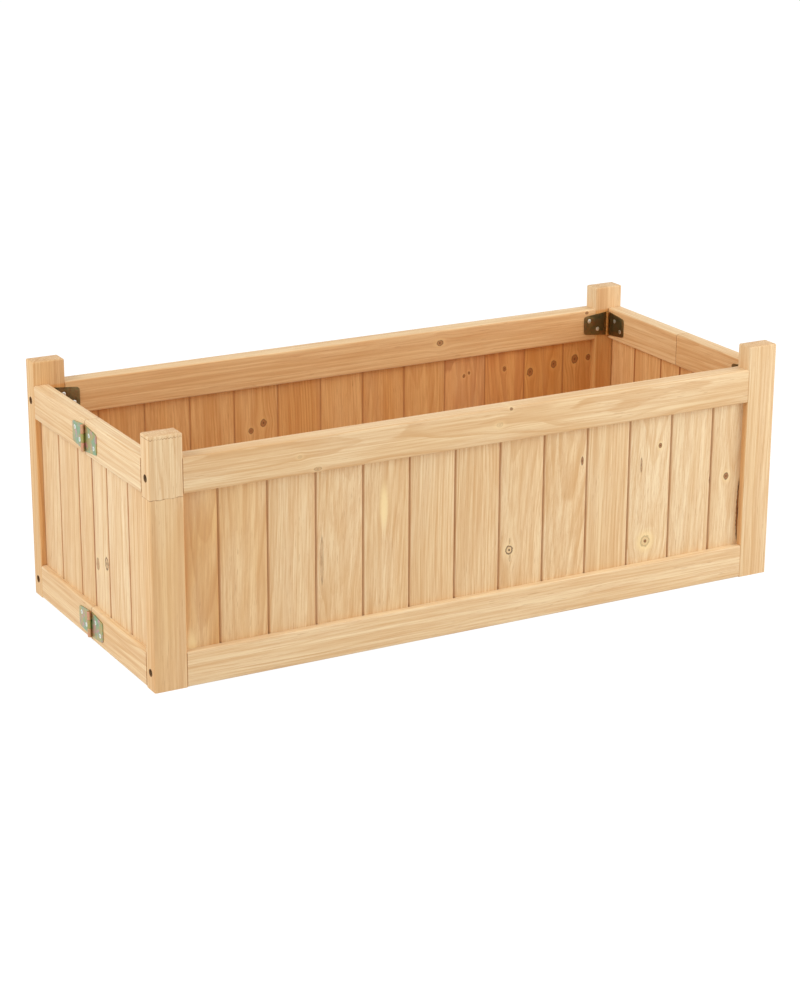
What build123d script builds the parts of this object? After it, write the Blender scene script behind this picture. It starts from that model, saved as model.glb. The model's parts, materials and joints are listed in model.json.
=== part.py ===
from build123d import *
from math import atan2, cos, degrees, pi
import os

# Folding raised garden bed, open at top and bottom.
# X runs along the length, the front is at -Y, and Z = 0 is the ground.

# Overall size of the open bed, in millimetres
bed_length = 1000.0
bed_width = 438.0
bed_height = 356.0

# Posts of the long panels
post_width = 48.0
post_depth = 28.0
post_rise = 34.0
post_edge_chamfer = 1.5

# Rails; those of the long panels are as deep as the posts
rail_height = 50.0
rail_edge_cut = 2.2
end_rail_thickness = 24.0

# Tongue-and-groove slats
slat_thickness = 7.0
slat_pitch = 72.5
first_end_slat = 51.0
narrowest_slat = 20.0
face_bevel = 2.0
face_gap = 0.4
tongue_length = 4.0
tongue_thickness = 2.4
tongue_clearance = 0.15

# Grooves that hold the slats
rail_groove_depth = 9.5
post_groove_depth = 5.5
groove_clearance = 0.15
groove_spare = 0.5

# Gaps between the panels when the bed is open
corner_gap = 1.0
split_gap = 1.0

# Hinges
hinge_height = 38.0
leaf_reach = 42.0
leaf_tip_height = 29.0
leaf_thickness = 1.5
leaf_corner_cut = 4.0
inner_screw_reach = 17.0
outer_screw_reach = 33.0
screw_stagger = 7.0
pin_radius = 1.65
pin_clearance = 0.05
knuckle_sides = 10
bore_sides = 8
knuckle_gap = 0.25
knuckle_seat_gap = 0.3

# Countersunk screws of the hinges
hinge_screw_head_radius = 3.3
hinge_screw_radius = 1.7
hinge_screw_length = 17.0

# Long countersunk screws through the posts into the rails
post_screw_head_radius = 4.2
post_screw_radius = 2.4
post_screw_length = 78.0
post_screw_cone = 1.8
post_screw_recess = 3.0
screw_clearance = 0.05

# Sides of every screw and of a hinge screw's pilot hole, and the screw points as shares of the radius
screw_sides = 7
pilot_sides = 6
screw_taper_share = 2.5
screw_point_share = 0.15

# Places worked out from the sizes above
top_rail_base = bed_height - post_rise - rail_height
slat_base = rail_height - rail_groove_depth
slat_top = top_rail_base + rail_groove_depth - groove_spare
long_rail_length = bed_length - 2 * post_width
half_rail_length = bed_width / 2 - post_depth - corner_gap - split_gap / 2
half_rail_middle = split_gap / 2 + half_rail_length / 2
knuckle_radius = pin_radius + pin_clearance + leaf_thickness
bore_corner_radius = (pin_radius + pin_clearance) / cos(pi / bore_sides)
pilot_corner_radius = (hinge_screw_radius + screw_clearance) / cos(pi / pilot_sides)
pin_offset = knuckle_radius + knuckle_seat_gap
corner_pin_x = bed_length / 2 - end_rail_thickness - pin_offset
corner_pin_y = bed_width / 2 - post_depth - pin_offset
middle_pin_x = bed_length / 2 + pin_offset
rail_middles = (top_rail_base + rail_height / 2, rail_height / 2)

LEFT_HAND, RIGHT_HAND = -1, 1
END_NAMES = {-1: "left", 1: "right"}
DEPTH_NAMES = {-1: "front", 1: "back"}


def prism(corner_radius, sides, height):
    """Many-sided bar about the Z axis, centred on the origin."""
    return extrude(RegularPolygon(corner_radius, sides), height / 2, both=True)


def eased(face, cut):
    """Face with all its corners rounded, each by three flats."""
    face = chamfer(face.vertices(), cut)
    return chamfer(face.vertices(), cut / 3)


def tapered(start_radius, end_radius, sides, start, end):
    """Many-sided bar about the Z axis, its corner radius changing evenly from start to end."""
    fall = (start_radius - end_radius) * cos(pi / sides)
    angle = degrees(atan2(fall, end - start))
    return Pos(0, 0, start) * extrude(RegularPolygon(start_radius, sides), end - start, taper=angle)


def countersunk_screw(head_radius, radius, cone, length):
    """Screw along +Z with its tip up and its flat head at Z = 0."""
    taper_start = length - radius * screw_taper_share
    screw = tapered(head_radius, radius, screw_sides, 0, cone)
    screw += tapered(radius, radius, screw_sides, cone, taper_start)
    return screw + tapered(radius, radius * screw_point_share, screw_sides, taper_start, length)


def screw_hole(head_radius, radius, cone, length, reach_out):
    """Cutter of a countersunk screw's own hole, reaching out from its head."""
    head = head_radius + screw_clearance
    shank = radius + screw_clearance
    hole = tapered(head, head, screw_sides, -reach_out, 0)
    hole += tapered(head, shank, screw_sides, 0, cone)
    return hole + tapered(shank, shank, screw_sides, cone, length + screw_clearance)


def hinge_screw():
    return countersunk_screw(hinge_screw_head_radius, hinge_screw_radius, leaf_thickness,
                             hinge_screw_length)


def hinge_screw_hole():
    return screw_hole(hinge_screw_head_radius, hinge_screw_radius, leaf_thickness,
                      hinge_screw_length, leaf_thickness)


def hinge_pilot_hole():
    """Cutter of the timber's hole behind a leaf, wide enough for the shank's corners."""
    depth = hinge_screw_length + screw_clearance
    return tapered(pilot_corner_radius, pilot_corner_radius, pilot_sides, 0, depth)


def post_screw():
    return countersunk_screw(post_screw_head_radius, post_screw_radius, post_screw_cone,
                             post_screw_length)


def post_screw_hole():
    return screw_hole(post_screw_head_radius, post_screw_radius, post_screw_cone,
                      post_screw_length, 2 * post_screw_recess)


def in_leaf_screws(hand, screw):
    """A leaf's two screws, in the hinge's own frame: pin along Z, timber on the +Y side."""
    front = pin_offset - leaf_thickness
    along_y = Rot(-90, 0, 0) * screw
    pair = [
        Pos(inner_screw_reach, front, screw_stagger) * along_y,
        Pos(outer_screw_reach, front, -screw_stagger) * along_y,
    ]
    return [turned_for_hand(one, hand) for one in pair]


def turned_for_hand(shape, hand):
    return shape if hand == RIGHT_HAND else Rot(0, 180, 0) * shape


def leaf_plate():
    """Tapered plate of a right-hand leaf, from the pin's axis along +X, against timber on the +Y side."""
    outline = Polyline(
        (0, -hinge_height / 2), (leaf_reach, -leaf_tip_height / 2),
        (leaf_reach, leaf_tip_height / 2), (0, hinge_height / 2), close=True,
    )
    face = make_face(outline)
    face = chamfer(face.vertices().sort_by(Axis.X)[-2:], leaf_corner_cut)
    return extrude(Plane.XZ.offset(-pin_offset) * face, leaf_thickness)


def knuckle_spans(hand):
    """Heights of a leaf's own knuckles: the middle one on a right-hand leaf, else the outer two."""
    step = (hinge_height + knuckle_gap) / 3
    own = (0,) if hand == RIGHT_HAND else (-1, 1)
    return [(index * step, step - knuckle_gap) for index in own]


def hinge_leaf(hand):
    """Leaf with its knuckles, in the hinge's own frame, with countersunk screw holes."""
    leaf = turned_for_hand(leaf_plate(), hand)
    for middle, height in knuckle_spans(-hand):
        notch = Box(2 * (knuckle_radius + knuckle_gap), 4 * pin_offset, height + 2 * knuckle_gap)
        leaf -= Pos(0, 0, middle) * notch
    for middle, height in knuckle_spans(hand):
        leaf += Pos(0, 0, middle) * prism(knuckle_radius, knuckle_sides, height)
    leaf -= prism(bore_corner_radius, bore_sides, 2 * hinge_height)
    for hole in in_leaf_screws(hand, hinge_screw_hole()):
        leaf -= hole
    return leaf


def hinge_pin():
    """Plain pin, as long as the barrel."""
    return Cylinder(pin_radius, hinge_height)


def at_pin(pin, turn, shape):
    """Copies of a hinge's shape at the middle of the top rails and of the bottom rails."""
    return [Pos(pin[0], pin[1], height) * Rot(0, 0, turn) * shape for height in rail_middles]


def leaf_copies(pin, turn, hand):
    return at_pin(pin, turn, hinge_leaf(hand))


def screw_copies(pin, turn, hand, screw):
    return [copy for one in in_leaf_screws(hand, screw) for copy in at_pin(pin, turn, one)]


def rail_profile(thickness, groove_side):
    """Eased rail section, thickness by height, with the slat groove on its top (1) or underside (-1)."""
    groove = Rectangle(slat_thickness + 2 * groove_clearance, 2 * rail_groove_depth)
    section = eased(Rectangle(thickness, rail_height), rail_edge_cut)
    return section - Pos(0, groove_side * rail_height / 2) * groove


def long_rail(side, top):
    """Rail between the posts; side is -1 for the front panel and 1 for the back."""
    profile = rail_profile(post_depth, -1 if top else 1)
    rail = extrude(Plane.YZ * profile, long_rail_length / 2, both=True)
    height = rail_middles[0 if top else 1]
    return Pos(0, side * (bed_width - post_depth) / 2, height) * rail


def half_rail(end, side, top):
    """Rail of half an end; end is -1 for the left and 1 for the right."""
    profile = rail_profile(end_rail_thickness, -1 if top else 1)
    rail = extrude(Plane.XZ * profile, half_rail_length / 2, both=True)
    height = rail_middles[0 if top else 1]
    return Pos(end * (bed_length - end_rail_thickness) / 2, side * half_rail_middle, height) * rail


def post(end, side):
    """Corner post, eased on all edges but its foot's, with a stopped groove for the outermost slat."""
    body = Pos(0, 0, bed_height / 2) * Box(post_width, post_depth, bed_height)
    eased = body.edges().filter_by(lambda edge: edge.center().Z > 1)
    body = chamfer(eased, post_edge_chamfer)
    groove_height = slat_top + groove_spare - slat_base
    groove = Box(2 * post_groove_depth, slat_thickness + 2 * groove_clearance, groove_height)
    body -= Pos(-end * post_width / 2, 0, slat_base + groove_height / 2) * groove
    return Pos(end * (bed_length - post_width) / 2, side * (bed_width - post_depth) / 2, 0) * body


def slat(start, stop, grooved, tongued):
    """Upright slat from start to stop along X, its bevelled face at -Y; the groove is at its start."""
    width = stop - start
    blank = Rectangle(width, slat_thickness)
    outer = blank.vertices().sort_by(Axis.Y)[:2].sort_by(Axis.X)
    bevelled = ([outer[0]] if grooved else []) + ([outer[1]] if tongued else [])
    if bevelled:
        blank = chamfer(bevelled, face_bevel)
    if grooved:
        slot = Rectangle(2 * (tongue_length + tongue_clearance), tongue_thickness + 2 * tongue_clearance)
        blank -= Pos(-width / 2, 0) * slot
    if tongued:
        blank += Pos(width / 2, 0) * Rectangle(2 * tongue_length, tongue_thickness)
    return Pos((start + stop) / 2, 0, slat_base) * extrude(blank, slat_top - slat_base)


def slat_row(edges):
    """Slats between neighbouring edges; the inner edges are joints and the outer two are plain."""
    slats = []
    last = len(edges) - 2
    for index in range(len(edges) - 1):
        grooved, tongued = index > 0, index < last
        start = edges[index] + (face_gap / 2 if grooved else 0)
        stop = edges[index + 1] - (face_gap / 2 if tongued else 0)
        slats.append(slat(start, stop, grooved, tongued))
    return slats


def long_slat_edges():
    """Edges of a long panel's slats: joints spaced evenly about the middle, ends inside the posts."""
    reach = long_rail_length / 2 + post_groove_depth - groove_spare
    count = int((long_rail_length / 2 - narrowest_slat) / slat_pitch + 0.5)
    right = [(index + 0.5) * slat_pitch for index in range(count)]
    return [-reach] + [-place for place in reversed(right)] + right + [reach]


def half_slat_edges():
    """Edges of a half end's slats, counted from the split towards the corner."""
    edges = [0.0]
    joint = first_end_slat
    while joint < half_rail_length - narrowest_slat:
        edges.append(joint)
        joint += slat_pitch
    return edges + [half_rail_length]


def long_slats(side):
    turn = 0 if side < 0 else 180
    place = Pos(0, side * (bed_width - post_depth) / 2, 0) * Rot(0, 0, turn)
    return [place * one for one in slat_row(long_slat_edges())]


def half_slats(end, side):
    """Slats of half an end, in order along the end, bevelled face outwards."""
    edges = sorted(end * side * (split_gap / 2 + edge) for edge in half_slat_edges())
    place = Pos(end * (bed_length - end_rail_thickness) / 2, 0, 0) * Rot(0, 0, 90 * end)
    return [place * one for one in slat_row(edges)]


def post_screws(end, side, screw):
    """Screws through a post into both of its rails, driven from the outside of the end."""
    head = end * (bed_length / 2 - post_screw_recess)
    middle = side * (bed_width - post_depth) / 2
    return [Pos(head, middle, height) * Rot(0, -90 * end, 0) * screw for height in rail_middles]


def long_panel(side):
    """Nodes of the front panel (side -1) or the back panel (side 1)."""
    name = DEPTH_NAMES[side]
    turn = 0 if side > 0 else 180
    nodes = {}
    long_screws, long_holes, short_screws, short_holes = [], [], [], []
    for end in (-1, 1):
        hand = -end * side
        pin = (end * corner_pin_x, side * corner_pin_y)
        nodes[f"{END_NAMES[end]}_{name}_hinge_panel_leaves"] = leaf_copies(pin, turn, hand)
        short_screws += screw_copies(pin, turn, hand, hinge_screw())
        short_holes += screw_copies(pin, turn, hand, hinge_pilot_hole())
        long_screws += post_screws(end, side, post_screw())
        long_holes += post_screws(end, side, post_screw_hole())
    holes = long_holes + short_holes
    for end in (-1, 1):
        nodes[f"{name}_{END_NAMES[end]}_post"] = [post(end, side) - holes]
    nodes[f"{name}_top_rail"] = [long_rail(side, True) - holes]
    nodes[f"{name}_bottom_rail"] = [long_rail(side, False) - holes]
    nodes[f"{name}_slats"] = long_slats(side)
    nodes[f"{name}_post_screws"] = long_screws
    nodes[f"{name}_panel_hinge_screws"] = short_screws
    return nodes


def half_end(end, side):
    """Nodes of half an end, with its leaf of the corner hinges and of the middle hinges."""
    name = f"{END_NAMES[end]}_{DEPTH_NAMES[side]}"
    hand = end * side
    corner = ((end * corner_pin_x, side * corner_pin_y), -90 * end)
    middle = ((end * middle_pin_x, 0), 90 * end)
    nodes, screws, holes = {}, [], []
    for pin, turn in (corner, middle):
        screws += screw_copies(pin, turn, hand, hinge_screw())
        holes += screw_copies(pin, turn, hand, hinge_pilot_hole())
    nodes[f"{name}_top_rail"] = [half_rail(end, side, True) - holes]
    nodes[f"{name}_bottom_rail"] = [half_rail(end, side, False) - holes]
    for number, one in enumerate(half_slats(end, side), start=1):
        nodes[f"{name}_slat_{number}"] = [one]
    nodes[f"{name}_hinge_half_leaves"] = leaf_copies(*corner, hand)
    nodes[f"{END_NAMES[end]}_middle_hinge_{DEPTH_NAMES[side]}_leaves"] = leaf_copies(*middle, hand)
    nodes[f"{name}_half_hinge_screws"] = screws
    return nodes


def hinge_pins():
    """Pins of the four corners and of the two middles, a top and a bottom one each."""
    nodes = {}
    for end in (-1, 1):
        for side in (-1, 1):
            pin = (end * corner_pin_x, side * corner_pin_y)
            nodes[f"{END_NAMES[end]}_{DEPTH_NAMES[side]}_hinge_pins"] = at_pin(pin, 0, hinge_pin())
        nodes[f"{END_NAMES[end]}_middle_hinge_pins"] = at_pin((end * middle_pin_x, 0), 0, hinge_pin())
    return nodes


def save(nodes):
    os.makedirs("parts", exist_ok=True)
    for name, shapes in nodes.items():
        solids = [solid for shape in shapes for solid in shape.solids()]
        export_step(Compound(solids) if len(solids) > 1 else solids[0], f"parts/{name}.step")


if __name__ == "__main__":
    for side in (-1, 1):
        save(long_panel(side))
        for end in (-1, 1):
            save(half_end(end, side))
    save(hinge_pins())
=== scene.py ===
"""Folding raised garden bed: fir panels, slats and posts with zinc-plated hinges, in a white studio.

Shapes and patterns are worked out in millimetres; hang() turns a finished shape into metres.
X runs along the bed, the front is at -Y and the ground at Z = 0, as in the CAD model.
"""
import json
import logging
import math
import random
from collections.abc import Callable, Iterable
from dataclasses import dataclass, field
from enum import Enum

import bmesh
import bpy
from mathutils import Matrix, Vector

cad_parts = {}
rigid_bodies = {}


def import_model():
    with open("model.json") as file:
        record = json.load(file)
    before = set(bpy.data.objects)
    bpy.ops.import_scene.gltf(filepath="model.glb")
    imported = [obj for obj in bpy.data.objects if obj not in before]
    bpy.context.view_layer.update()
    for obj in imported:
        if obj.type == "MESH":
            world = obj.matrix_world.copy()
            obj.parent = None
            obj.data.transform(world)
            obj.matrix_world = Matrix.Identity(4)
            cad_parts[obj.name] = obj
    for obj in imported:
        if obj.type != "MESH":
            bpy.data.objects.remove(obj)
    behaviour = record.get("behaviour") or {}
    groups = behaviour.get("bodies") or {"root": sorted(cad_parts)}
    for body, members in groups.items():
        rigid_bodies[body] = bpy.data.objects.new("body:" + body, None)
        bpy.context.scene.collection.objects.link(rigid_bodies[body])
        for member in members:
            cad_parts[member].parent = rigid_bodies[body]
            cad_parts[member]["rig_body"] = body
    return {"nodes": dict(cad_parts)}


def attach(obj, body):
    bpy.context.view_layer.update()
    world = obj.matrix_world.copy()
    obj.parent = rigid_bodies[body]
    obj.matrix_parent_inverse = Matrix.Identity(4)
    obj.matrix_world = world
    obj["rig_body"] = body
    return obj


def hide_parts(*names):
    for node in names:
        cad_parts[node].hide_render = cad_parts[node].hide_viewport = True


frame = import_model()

LOG = logging.getLogger("garden_bed")
MM = 0.001
WHITE = (1.0, 1.0, 1.0, 1.0)
# Radii about a post screw's axis, in millimetres: painted shade inside the counterbore, fading out as a scorch mark
# on its rim.
SCORCH_AND_SHADE_RADII = (5.2, 5.9)
# Orange darkening multiplied into faces inside the box: painted shade and warm bounce light.
PAINTED_INSIDE_SHADE = (0.95, 0.69, 0.40, 1.0)

Colour = tuple[float, float, float, float]
Point = tuple[float, float, float]
Socket = bpy.types.NodeSocket
Shape = bmesh.types.BMesh


def srgb(red: int, green: int, blue: int) -> Colour:
    """Converts a colour as a screen shows it to Blender's linear light.

    Args:
        red: Red from 0 to 255.
        green: Green from 0 to 255.
        blue: Blue from 0 to 255.

    Returns:
        The linear colour with full alpha.
    """
    def linear(value: float) -> float:
        """Undoes the screen's curve for one channel."""
        return value / 12.92 if value <= 0.04045 else ((value + 0.055) / 1.055) ** 2.4
    return (linear(red / 255), linear(green / 255), linear(blue / 255), 1.0)


class End(Enum):
    """The two ends of the bed, by the sign of X."""

    LEFT = -1
    RIGHT = 1


class Depth(Enum):
    """The two long panels, by the sign of Y."""

    FRONT = -1
    BACK = 1


class Hand(Enum):
    """Which way a leaf lies from its pin; a right-hand leaf has the single middle knuckle."""

    LEFT = -1
    RIGHT = 1


class Tone(Enum):
    """Fir as it varies from board to board: early wood and late wood."""

    CREAM = (srgb(243, 217, 174), srgb(219, 178, 126))
    STRAW = (srgb(238, 207, 160), srgb(212, 166, 112))
    HONEY = (srgb(234, 197, 144), srgb(206, 154, 96))
    AMBER = (srgb(228, 184, 124), srgb(196, 136, 76))
    ROSE = (srgb(230, 186, 136), srgb(190, 128, 84))


@dataclass(frozen=True)
class Knot:
    """A knot, pin knot or resin streak across a board's face.

    Attributes:
        across: Place along X or Y, in millimetres, in the bed's own frame.
        height: Place along Z, in millimetres.
        radius: Half its width across the grain, in millimetres.
        stretch: Its length along the grain, in widths.
        heart: Strength of the dark rim and middle, from 0 for a pale flame to 1 for a black knot.
        halo: Share of the resinous ring of paler wood round it.
        fill: Share of the brown wood between the middle and the rim.
    """

    across: float
    height: float
    radius: float
    stretch: float = 1.3
    heart: float = 0.8
    halo: float = 0.3
    fill: float = 0.7


@dataclass(frozen=True)
class Sawing:
    """How a board was cut from its log, in millimetres and degrees.

    Attributes:
        pith_distance: From the pith of the log to the middle of the board.
        pith_angle: 0 puts the pith behind the face, 90 beside it.
        drift: Slope of the pith against the board, which draws pointed arches.
        ring: Mean width of a year's growth.
    """

    pith_distance: float = 60.0
    pith_angle: float = 10.0
    drift: float = 4.0
    ring: float = 5.0


@dataclass(frozen=True)
class BoardLook:
    """What sets one board's timber apart from the next."""

    tone: Tone = Tone.STRAW
    sawing: Sawing = Sawing()
    figure: float = 0.6
    knots: tuple[Knot, ...] = ()


@dataclass(frozen=True)
class BoardFrame:
    """Where a board lies, in millimetres: its middle, grain, face and half width, and whether it is a post."""

    middle: Point
    along: Point
    outward: Point
    half_width: float
    post: bool = False

    def across(self) -> Vector:
        """Unit vector across the face."""
        return Vector(self.outward).cross(Vector(self.along))

    def spot(self, knot: Knot) -> Vector:
        """Middle of a knot inside the board."""
        place = Vector(self.middle)
        place[0 if abs(self.outward[1]) > 0.5 else 1] = knot.across
        place.z = knot.height
        return place


@dataclass(frozen=True)
class GluedLength:
    """A finger joint across a post, with a second length of timber above it, in millimetres."""

    height: float
    tooth: float = 4.0
    reach: float = 2.0
    look: BoardLook | None = None


class NodeSheet:
    """Adds nodes to a node tree and links them."""

    def __init__(self, tree: bpy.types.NodeTree) -> None:
        """Takes the tree to work on."""
        self.tree = tree

    def add(self, kind: str, inputs: dict[str | int, object] | None = None,
            **settings: object) -> bpy.types.Node:
        """Adds one node.

        Args:
            kind: Blender's name of the node type.
            inputs: Values or sockets for its inputs, by name or number.
            **settings: Attributes to set on the node first.

        Returns:
            The new node.
        """
        node = self.tree.nodes.new(kind)
        for name, value in settings.items():
            setattr(node, name, value)
        for key, value in (inputs or {}).items():
            self.feed(node.inputs[key], value)
        return node

    def feed(self, socket: Socket, value: object) -> None:
        """Links a socket to an input, or sets the input's own value."""
        if isinstance(value, bpy.types.NodeSocket):
            self.tree.links.new(value, socket)
        else:
            socket.default_value = value

    def group(self, tree: bpy.types.NodeTree, inputs: dict[str, object]) -> bpy.types.Node:
        """Places an effect with its own values and returns its node."""
        return self.add("ShaderNodeGroup", inputs, node_tree=tree)

    def math(self, operation: str, *values: object, clamp: bool = False) -> Socket:
        """Adds a Math node and returns its result."""
        node = self.add("ShaderNodeMath", dict(enumerate(values)), operation=operation, use_clamp=clamp)
        return node.outputs[0]

    def vector(self, operation: str, first: object, second: object = (0.0, 0.0, 0.0),
               scale: object = None) -> Socket:
        """Adds a Vector Math node.

        Args:
            operation: Blender's name of the operation.
            first: First vector.
            second: Second vector, where the operation has one.
            scale: Factor of the SCALE operation.

        Returns:
            The value of a dot product or length, and otherwise the vector.
        """
        inputs = {0: first, 1: second} if scale is None else {0: first, 3: scale}
        node = self.add("ShaderNodeVectorMath", inputs, operation=operation)
        return node.outputs["Value" if operation in ("DOT_PRODUCT", "LENGTH") else "Vector"]

    def mix(self, share: object, first: object, second: object, blend: str = "MIX") -> Socket:
        """Mixes two colours by a share and returns the colour."""
        node = self.add("ShaderNodeMix", {0: share, 6: first, 7: second}, data_type="RGBA", blend_type=blend)
        return node.outputs[2]

    def noise(self, vector: object, scale: float | Point, detail: float = 2.0, rough: float = 0.5,
              colour: bool = False) -> Socket:
        """Adds a Noise Texture.

        Args:
            vector: Coordinates.
            scale: Waves per unit, the same all ways or one for each axis.
            detail: Octaves.
            rough: Share of the finer octaves.
            colour: Whether the three-channel output is wanted.

        Returns:
            The value, or the colour.
        """
        if not isinstance(scale, float):
            vector, scale = self.vector("MULTIPLY", vector, scale), 1.0
        node = self.add("ShaderNodeTexNoise", {"Vector": vector, "Scale": scale, "Detail": detail,
                                               "Roughness": rough})
        return node.outputs["Color" if colour else 0]

    def sway(self, vector: object, scale: float | Point, reach: object) -> Socket:
        """Random vector of either sign, up to about half a reach long."""
        wave = self.vector("SUBTRACT", self.noise(vector, scale, 2.0, colour=True), (0.5, 0.5, 0.5))
        return self.vector("SCALE", wave, scale=reach)

    def span(self, value: object, low: float, high: float, bottom: float = 0.0, top: float = 1.0) -> Socket:
        """Maps low to high smoothly onto bottom to top, and holds outside them."""
        node = self.add("ShaderNodeMapRange", {"Value": value, "From Min": low, "From Max": high,
                                               "To Min": bottom, "To Max": top},
                        interpolation_type="SMOOTHSTEP")
        return node.outputs[0]


class EffectGroup:
    """A shader node group with named inputs and outputs."""

    def __init__(self, name: str, inputs: dict[str, tuple[str, object]], outputs: dict[str, str]) -> None:
        """Starts the group.

        Args:
            name: The group's name.
            inputs: Kind and default of each input, by name; the kinds are Float, Vector and Color.
            outputs: Kind of each output, by name.
        """
        self.tree = bpy.data.node_groups.new(name, "ShaderNodeTree")
        for label, (kind, default) in inputs.items():
            socket = self.tree.interface.new_socket(label, in_out="INPUT", socket_type=f"NodeSocket{kind}")
            socket.default_value = default
        for label, kind in outputs.items():
            self.tree.interface.new_socket(label, in_out="OUTPUT", socket_type=f"NodeSocket{kind}")
        self.sheet = NodeSheet(self.tree)
        self.given = self.sheet.add("NodeGroupInput").outputs
        self.leave = self.sheet.add("NodeGroupOutput").inputs

    def put_out(self, **values: Socket) -> bpy.types.NodeTree:
        """Links the outputs, with underscores for the spaces in their names, and returns the group."""
        for name, value in values.items():
            self.sheet.feed(self.leave[name.replace("_", " ")], value)
        return self.tree


class WoodEffects:
    """The patterns that the boards share, each a node group that is built once. All are in millimetres."""

    def __init__(self) -> None:
        """Builds the groups."""
        self.rings = self._growth_rings()
        self.fibre = self._wood_fibre()
        self.knot_pull = self._knot_pull()
        self.knot_face = self._knot_face()
        self.seam = self._finger_joint()

    @staticmethod
    def _growth_rings() -> bpy.types.NodeTree:
        """Year rings about the X axis of the log."""
        group = EffectGroup("Growth rings", {"Log": ("Vector", (0, 0, 0)), "Ring width": ("Float", 5.0)},
                            {"Late wood": "Float", "Year": "Float", "Bands": "Float"})
        sheet, log = group.sheet, group.given["Log"]
        bent = sheet.vector("ADD", log, sheet.sway(log, (0.0030, 0.014, 0.014), 20.0))
        flat = sheet.vector("MULTIPLY", bent, (0.0, 1.0, 1.0))
        ripple = sheet.math("MULTIPLY", sheet.noise(log, (0.009, 0.10, 0.10)), 2.2)
        radius = sheet.math("ADD", sheet.vector("LENGTH", flat), ripple)
        uneven = sheet.add("ShaderNodeTexNoise", {"W": sheet.math("MULTIPLY", radius, 0.045), "Scale": 1.0},
                           noise_dimensions="1D")
        years = sheet.math("ADD", sheet.math("DIVIDE", radius, group.given["Ring width"]),
                           sheet.math("MULTIPLY", uneven.outputs[0], 3.0))
        phase = sheet.math("FRACT", years)
        late = sheet.math("MULTIPLY", sheet.span(phase, 0.30, 0.90), sheet.span(phase, 0.92, 1.0, 1.0, 0.0))
        chance = sheet.add("ShaderNodeTexWhiteNoise", {"W": sheet.math("FLOOR", years)},
                           noise_dimensions="1D")
        bands = sheet.noise(log, (0.0010, 0.11, 0.11), 3.0, 0.6)
        return group.put_out(Late_wood=late, Year=chance.outputs["Value"], Bands=bands)

    @staticmethod
    def _wood_fibre() -> bpy.types.NodeTree:
        """Fine fibres, short resin dashes and soft mottling along the X axis of the log."""
        group = EffectGroup("Wood fibre", {"Log": ("Vector", (0, 0, 0))},
                            {"Fibre": "Float", "Dashes": "Float", "Mottle": "Float"})
        sheet, log = group.sheet, group.given["Log"]
        fibre = sheet.noise(log, (0.008, 0.50, 0.50), 5.0, 0.75)
        cells = sheet.noise(log, (0.040, 0.62, 0.62), 1.0)
        where = sheet.noise(log, (0.006, 0.03, 0.03), 1.0)
        dashes = sheet.math("MULTIPLY", sheet.span(cells, 0.66, 0.74), sheet.span(where, 0.42, 0.58))
        mottle = sheet.noise(log, (0.006, 0.030, 0.030), 2.0, 0.5)
        return group.put_out(Fibre=fibre, Dashes=dashes, Mottle=mottle)

    @staticmethod
    def _knot_pull() -> bpy.types.NodeTree:
        """Distance from a knot in its own radii, and how far the grain round it is drawn aside."""
        group = EffectGroup("Knot pull", {
            "Place": ("Vector", (0, 0, 0)), "Centre": ("Vector", (0, 0, 0)), "Along": ("Vector", (0, 0, 1)),
            "Outward": ("Vector", (0, -1, 0)), "Radius": ("Float", 5.0), "Stretch": ("Float", 1.0)},
            {"Distance": "Float", "Shift": "Vector"})
        sheet, given = group.sheet, group.given
        away = sheet.vector("SUBTRACT", given["Place"], given["Centre"])
        away = sheet.vector("ADD", away, sheet.sway(given["Place"], 0.26, sheet.math(
            "MULTIPLY", given["Radius"], 0.7)))
        along = sheet.vector("DOT_PRODUCT", away, given["Along"])
        outward = sheet.vector("DOT_PRODUCT", away, given["Outward"])
        in_plane = sheet.vector("SUBTRACT", away, sheet.vector("SCALE", given["Outward"], scale=outward))
        across = sheet.vector("SUBTRACT", in_plane, sheet.vector("SCALE", given["Along"], scale=along))
        squeezed = sheet.vector("SCALE", given["Along"], scale=sheet.math("DIVIDE", along, given["Stretch"]))
        reach = sheet.vector("LENGTH", sheet.vector("ADD", squeezed, across))
        distance = sheet.math("DIVIDE", reach, given["Radius"])
        fade = sheet.math("EXPONENT", sheet.math("MULTIPLY", sheet.math("POWER", distance, 2.0), -0.12))
        shift = sheet.vector("SCALE", across, scale=sheet.math("MULTIPLY", fade, -0.72))
        return group.put_out(Distance=distance, Shift=shift)

    @staticmethod
    def _knot_face() -> bpy.types.NodeTree:
        """Paints a knot's heart, rim and halo over a colour, by the distance from its middle."""
        group = EffectGroup("Knot face", {
            "Color": ("Color", WHITE), "Distance": ("Float", 9.0), "Heart": ("Float", 0.8),
            "Halo": ("Float", 0.3), "Fill": ("Float", 0.7)}, {"Color": "Color"})
        sheet, given, distance = group.sheet, group.given, group.given["Distance"]
        halo = sheet.math("MULTIPLY", sheet.span(distance, 0.8, 3.0, 1.0, 0.0), given["Halo"])
        toned = sheet.mix(halo, given["Color"], srgb(248, 220, 164))
        inside = sheet.span(distance, 0.85, 1.2, 1.0, 0.0)
        turns = sheet.math("SINE", sheet.math("MULTIPLY", distance, 14.0))
        body = sheet.mix(sheet.span(turns, -0.6, 0.9), srgb(176, 118, 66), srgb(140, 84, 42))
        toned = sheet.mix(sheet.math("MULTIPLY", inside, given["Fill"]), toned, body)
        rim = sheet.math("MULTIPLY", sheet.span(distance, 0.72, 0.98),
                         sheet.span(distance, 1.02, 1.32, 1.0, 0.0))
        rim = sheet.math("MULTIPLY", rim, sheet.math("MULTIPLY", given["Heart"], 0.85))
        toned = sheet.mix(rim, toned, srgb(84, 48, 24))
        core = sheet.math("MULTIPLY", sheet.span(distance, 0.12, 0.5, 1.0, 0.0), given["Heart"])
        return group.put_out(Color=sheet.mix(core, toned, srgb(62, 34, 18)))

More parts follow.
